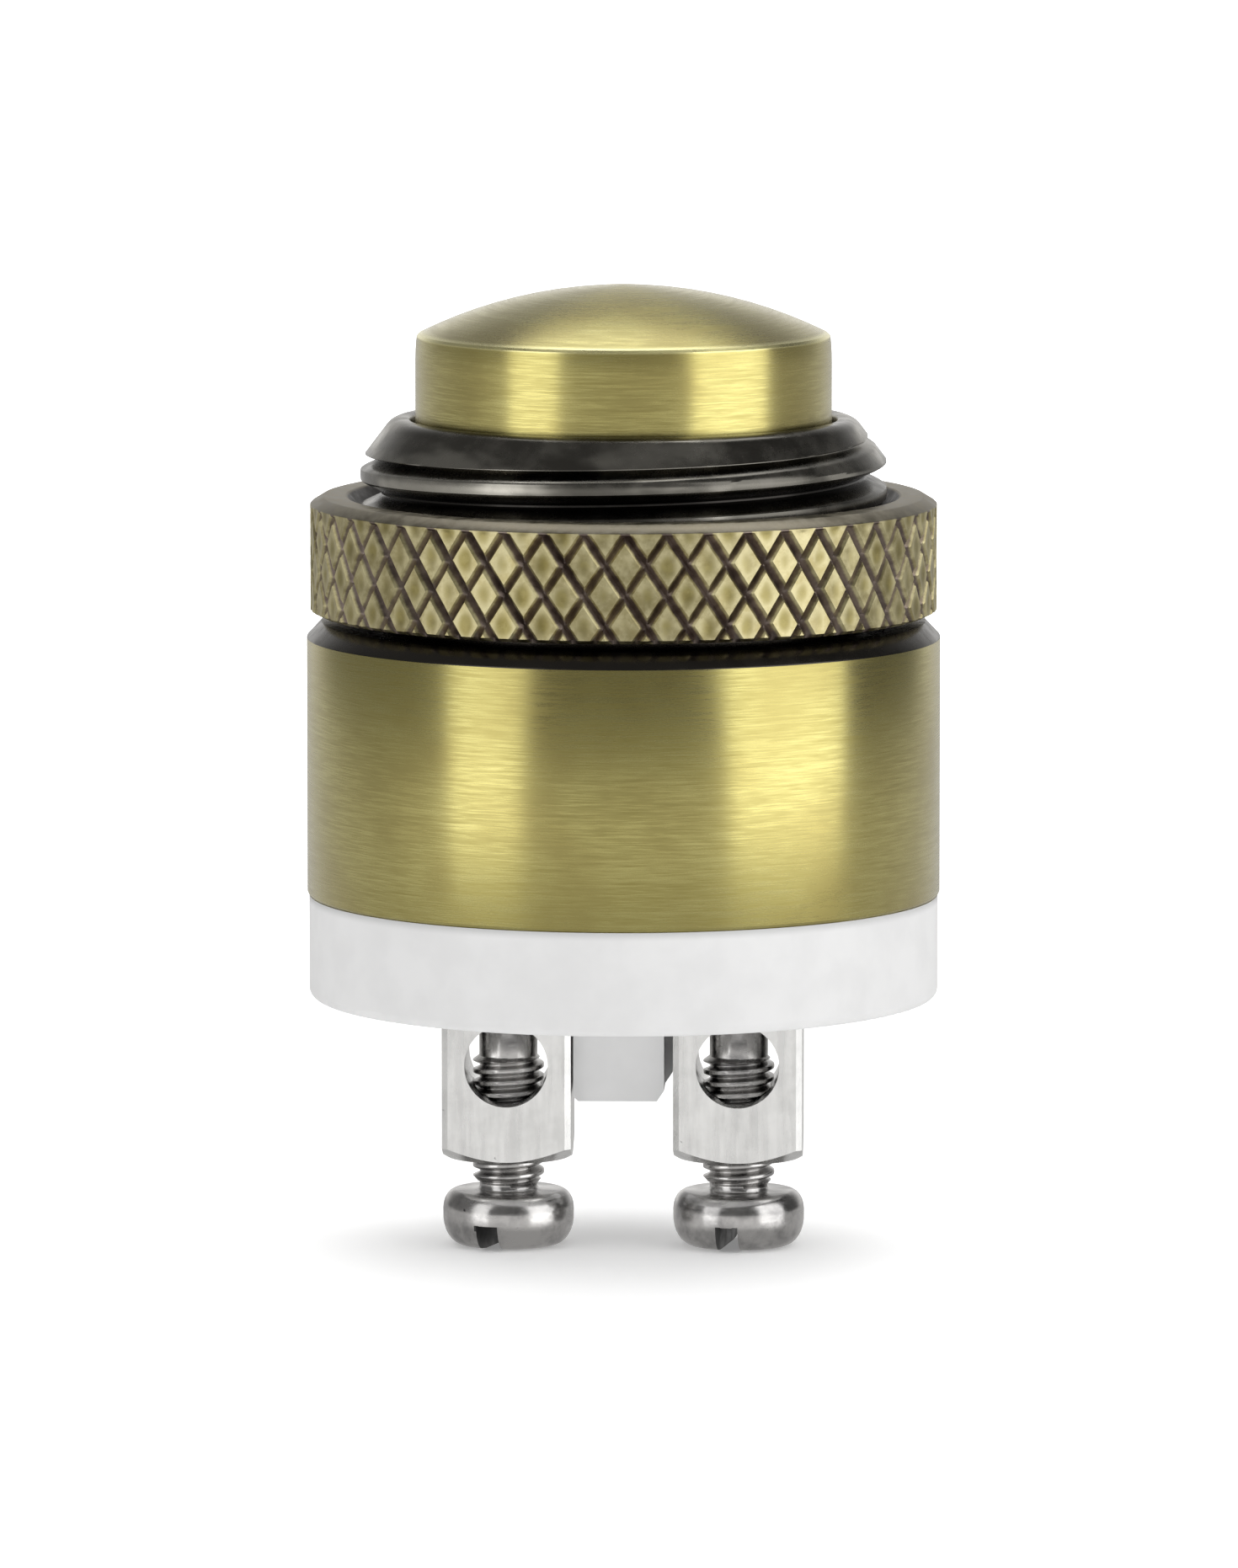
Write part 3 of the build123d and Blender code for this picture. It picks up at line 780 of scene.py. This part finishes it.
def blackened_neck():
    """Blackened brass, worn on the crests, with painted shade that makes it blackest in the thread's
    grooves and on the shoulder under the nut.
    """
    shader = Shader("blackened_neck", Metallic=1.0)
    height = shader.separate()[2]
    wear = shader.noise((900, 900, 900), 4.0, 0.6)
    patch = shader.noise((190, 190, 420), 3.0, 0.55)
    rings = shader.noise((60, 60, 9000), 2.0, 0.5)
    plain = shader.blend(shader.spread(wear, 0.4, 0.8), NECK_DARK, NECK_LIGHT)
    worn = shader.blend(shader.spread(patch, 0.46, 0.64), plain, NECK_WORN)
    # Painted shade: the thread's grooves turn near black, except on the nose cone
    off_groove_shade = shader.spread(shader.radius(), NECK_RADIUS - 0.85 * MM, NECK_RADIUS - 0.25 * MM)
    on_nose = shader.spread(height, NOSE_CONE_HEIGHT, NOSE_CONE_HEIGHT + 0.4 * MM)
    outer = shader.math("MAXIMUM", off_groove_shade, on_nose)
    threaded = shader.blend(outer, NECK_GROOVE_PAINTED_SHADE, worn)
    # Painted shade: the shoulder and the barrel's top chamfer, in the gap under the nut, turn black
    above_shoulder_shade = shader.spread(height, SHOULDER_HEIGHT + 0.07 * MM, SHOULDER_HEIGHT + 0.32 * MM)
    shader.colour(shader.blend(above_shoulder_shade, SHOULDER_PAINTED_SHADE, threaded))
    shader.roughness(shader.spread(wear, 0.3, 0.7, 0.20, 0.32))
    shader.bump(rings, 0.15, 0.01 * MM)
    return shader.material


def across_groove(shader, column, row, side):
    """Rises from 0 in the grooves of one direction to 1 halfway between two."""
    spot = shader.math("FRACT", shader.math(side, column, row))
    return shader.math("SINE", shader.math("MULTIPLY", spot, math.pi))


def knurled_brass():
    """Brass diamonds with cream edges and dull centres, between purple-brown grooves."""
    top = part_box("lock_nut")[1].z
    shader = Shader("knurled_brass", Metallic=1.0)
    radius = shader.radius()
    x, y, height = shader.separate()
    grain = shader.noise((1600, 1600, 1600), 4.0, 0.6)
    patch = shader.noise((420, 420, 420), 3.0, 0.5)

    # Place in the knurl's pattern
    around = shader.math("MULTIPLY", shader.math("ARCTAN2", y, x), KNURL_COLUMNS / math.tau)
    column = shader.math("ADD", around, KNURL_COLUMNS / 4 - KNURL_TURN)
    from_crossing = shader.math("SUBTRACT", height, top - KNURL_TOP_DROP)
    row = shader.math("DIVIDE", from_crossing, KNURL_PERIOD)
    deep = across_groove(shader, column, row, "ADD")
    shallow = across_groove(shader, column, row, "SUBTRACT")

    # Diamond faces
    wander = shader.math("MULTIPLY", shader.math("SUBTRACT", grain, 0.5), 0.7)
    drift = shader.math("MULTIPLY", shader.math("SUBTRACT", patch, 0.5), 1.2)
    middle = shader.math("ADD", shader.math("MULTIPLY", deep, shallow), shader.math("ADD", wander, drift))
    border = shader.blend(shader.spread(grain, 0.3, 0.7), *DIAMOND_BORDER)
    centre = shader.blend(shader.spread(grain, 0.35, 0.65), *DIAMOND_CENTRE)
    face = shader.blend(shader.spread(middle, 0.60, 1.10), border, centre)

    # Grooves
    brown = shader.blend(shader.spread(grain, 0.3, 0.7), *DEEP_GROOVE_BROWN)
    light_brown = shader.blend(shader.spread(grain, 0.3, 0.7), *SHALLOW_GROOVE_BROWN)
    ragged = shader.math("MULTIPLY", wander, 0.35)
    scored = shader.blend(shader.spread(shader.math("ADD", shallow, ragged), 0.20, 0.34), light_brown, face)
    knurled = shader.blend(shader.spread(shader.math("ADD", deep, ragged), 0.26, 0.44), brown, scored)

    # Plain rim, and painted shade that makes the countersink and bore black
    on_rim = shader.spread(height, top - 0.37 * MM, top - 0.33 * MM)
    plain = shader.blend(shader.spread(grain, 0.3, 0.7), *NUT_RIM_BRASS)
    outer = shader.blend(on_rim, knurled, plain)
    off_countersink_shade = shader.spread(radius, NUT_RADIUS - 1.62 * MM, NUT_RADIUS - 1.52 * MM)
    shader.colour(shader.blend(off_countersink_shade, COUNTERSINK_PAINTED_SHADE, outer))
    shader.roughness(shader.spread(grain, 0.3, 0.7, 0.34, 0.50))
    shader.bump(grain, 0.3, 0.02 * MM)
    return shader.material


def dimmed(colour, share):
    """A colour times a share."""
    return tuple(channel * share for channel in colour)


def white_nylon(name, tint):
    """White moulding, faintly mottled, with the shade that gathers under the barrel."""
    shader = Shader(name, Roughness=0.42, Specular_IOR_Level=0.45)
    mottle = shader.noise((500, 500, 500), 3.0, 0.5)
    fine = shader.noise((5000, 5000, 5000), 3.0, 0.6)
    plain = shader.blend(shader.spread(mottle, 0.35, 0.7), tint, dimmed(tint, 0.95))
    under_barrel = shader.spread(shader.separate()[2], *BASE_TOP_SHADE)
    shader.colour(shader.blend(under_barrel, plain, dimmed(tint, 0.72)))
    shader.bump(fine, 0.15, 0.01 * MM)
    return shader.material


def plated_metal(name, dark, light, rough_low, rough_high, scratch):
    """Plated or turned metal, stained and pitted, with scratches of a given noise scale."""
    shader = Shader(name, Metallic=1.0)
    lines = shader.noise(scratch, 4.0, 0.6)
    stain = shader.noise((700, 700, 700), 4.0, 0.6)
    pits = shader.noise((2600, 2600, 2600), 2.0, 0.5)
    base = shader.blend(shader.spread(stain, 0.35, 0.75), light, dark)
    shader.colour(shader.blend(shader.spread(pits, 0.72, 0.80), base, dimmed(dark, 0.4)))
    shader.roughness(shader.spread(lines, 0.3, 0.7, rough_low, rough_high))
    shader.bump(lines, 0.12, 0.008 * MM)
    return shader.material


def assign(node, material):
    """Give every slot of a CAD node one material."""
    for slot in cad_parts[node].material_slots:
        slot.material = material


def area_light(name, azimuth, elevation, distance, width, height, radiance):
    """Softbox at an azimuth measured from the camera's side, facing the part."""
    data = bpy.data.lights.new(name, "AREA")
    data.shape = "RECTANGLE"
    data.size = width
    data.size_y = height
    data.energy = radiance * math.pi * width * height
    light = bpy.data.objects.new(name, data)
    bpy.context.scene.collection.objects.link(light)
    turn = math.radians(azimuth) + CAMERA_AZIMUTH
    rise = math.radians(elevation)
    direction = Vector((
        math.sin(turn) * math.cos(rise), -math.cos(turn) * math.cos(rise), math.sin(rise),
    ))
    light.location = Vector((0, 0, AIM_HEIGHT)) + direction * distance
    light.rotation_euler = direction.to_track_quat("Z", "Y").to_euler()
    return light


def make_lights():
    """Three softboxes that the brass mirrors, and a ceiling that only fills the shadows."""
    for softbox in SOFTBOXES:
        area_light(*softbox)
    ceiling = area_light(*CEILING_FILL)
    ceiling.visible_glossy = False


def make_world():
    """Studio surround: pale behind, dim where the camera stands and under the horizon."""
    world = bpy.data.worlds.new("studio")
    world.use_nodes = True
    nodes = world.node_tree.nodes
    links = world.node_tree.links
    coordinates = nodes.new("ShaderNodeTexCoord")
    direction = nodes.new("ShaderNodeSeparateXYZ")
    links.new(coordinates.outputs["Generated"], direction.inputs[0])

    def ramp(axis, low, high, at_low, at_high):
        """Rise between two strengths, or sockets, as the direction turns along an axis."""
        node = nodes.new("ShaderNodeMapRange")
        node.interpolation_type = "SMOOTHSTEP"
        node.inputs["From Min"].default_value = low
        node.inputs["From Max"].default_value = high
        for name, value in (("To Min", at_low), ("To Max", at_high)):
            if isinstance(value, float):
                node.inputs[name].default_value = value
            else:
                links.new(value, node.inputs[name])
        links.new(direction.outputs[axis], node.inputs["Value"])
        return node.outputs["Result"]

    behind = ramp("Z", 0.05, 0.5, WALL_BEHIND, CEILING_BEHIND)
    side = ramp("X", -0.3, 0.6, WALL_LEFT, WALL_RIGHT)
    wall = ramp("Y", 0.6, 0.98, side, behind)
    above = ramp("Y", -0.35, 0.15, FRONT_OF_STUDIO, wall)
    floor_seen = ramp("Y", -0.4, 0.2, FLOOR_AHEAD, FLOOR_ASIDE)
    below = ramp("Z", -0.45, -0.20, FLOOR_UNDER, floor_seen)
    strength = ramp("Z", -0.03, 0.03, below, above)
    background = nodes["Background"]
    links.new(strength, background.inputs["Strength"])
    background.inputs["Color"].default_value = SURROUND_COLOUR
    bpy.context.scene.world = world


def make_floor():
    """Plain white floor, which the part's metal doesn't mirror."""
    bm = bmesh.new()
    bmesh.ops.create_grid(bm, x_segments=1, y_segments=1, size=FLOOR_HALF_SIZE)
    mesh = bpy.data.meshes.new("studio_floor")
    bm.to_mesh(mesh)
    bm.free()
    floor = bpy.data.objects.new("studio_floor", mesh)
    bpy.context.scene.collection.objects.link(floor)
    shader = Shader("studio_floor", Roughness=0.9, Specular_IOR_Level=0.0)
    shader.surface.inputs["Base Color"].default_value = FLOOR_COLOUR
    shader.surface.inputs["Emission Color"].default_value = GLOW_COLOUR
    glow = shader.spread(shader.radius(), GLOW_STARTS, GLOW_ENDS, GLOW_NEAR, GLOW_FAR)
    shader.links.new(glow, shader.surface.inputs["Emission Strength"])
    mesh.materials.append(shader.material)
    floor.visible_glossy = False


def make_camera():
    """Camera at the photograph's viewing angle and scale."""
    data = bpy.data.cameras.new("camera")
    data.sensor_width = SENSOR_MM
    data.sensor_fit = "AUTO"
    data.lens = PIXELS_PER_MM * (CAMERA_DISTANCE / MM) / PHOTO_HEIGHT_PX * SENSOR_MM
    data.clip_start = 0.01
    data.clip_end = 10
    camera = bpy.data.objects.new("camera", data)
    bpy.context.scene.collection.objects.link(camera)
    away = Vector((
        math.sin(CAMERA_AZIMUTH) * math.cos(CAMERA_ELEVATION),
        -math.cos(CAMERA_AZIMUTH) * math.cos(CAMERA_ELEVATION),
        math.sin(CAMERA_ELEVATION),
    ))
    aim = Vector((
        AIM_SIDE * math.cos(CAMERA_AZIMUTH), AIM_SIDE * math.sin(CAMERA_AZIMUTH), AIM_HEIGHT,
    ))
    camera.location = aim + away * CAMERA_DISTANCE
    camera.rotation_euler = away.to_track_quat("Z", "Y").to_euler()
    bpy.context.scene.camera = camera


def dress_nodes(spring):
    """Give a finish to each CAD node that keeps its own shape."""
    nickel = plated_metal("nickel_plate", *NICKEL_PLATE)
    bronze = plated_metal("bronze_strip", *BRONZE_STRIP)
    silver = plated_metal("contact_silver", *CONTACT_SILVER)
    assign("button_cap", brushed_brass("button_brushed_brass", 0.34, BUTTON_EDGE_HEIGHT))
    assign("terminal_base", white_nylon("white_nylon", BASE_WHITE))
    assign("contact_carrier", white_nylon("carrier_nylon", CARRIER_WHITE))
    assign("contact_bridge", bronze)
    assign("bridge_clip", spring)
    for side in ("left", "right"):
        assign("terminal_post_" + side, nickel)
        assign("contact_strip_" + side, bronze)
        assign("post_washer_" + side, nickel)
        assign("strip_tip_" + side, silver)
        assign("bridge_tip_" + side, silver)


def main():
    """Stage, then the pieces with shapes of their own, then the finishes of the others."""
    make_world()
    make_floor()
    make_camera()
    make_lights()

    make_barrel(brushed_brass("barrel_brushed_brass", 0.32), blackened_neck())
    make_nut(knurled_brass())
    spring = plated_metal("spring_steel", *SPRING_STEEL)
    make_return_spring(spring)
    steel = plated_metal("turned_steel", *TURNED_STEEL)
    # Painted shade for the insides of the screws' slots
    slot_shade_steel = plated_metal("slot_painted_shade", *SLOT_PAINTED_SHADE_STEEL)
    for side in ("left", "right"):
        make_screw(side, steel, slot_shade_steel)
    dress_nodes(spring)
    bpy.context.scene.view_settings.view_transform = "Standard"


main()
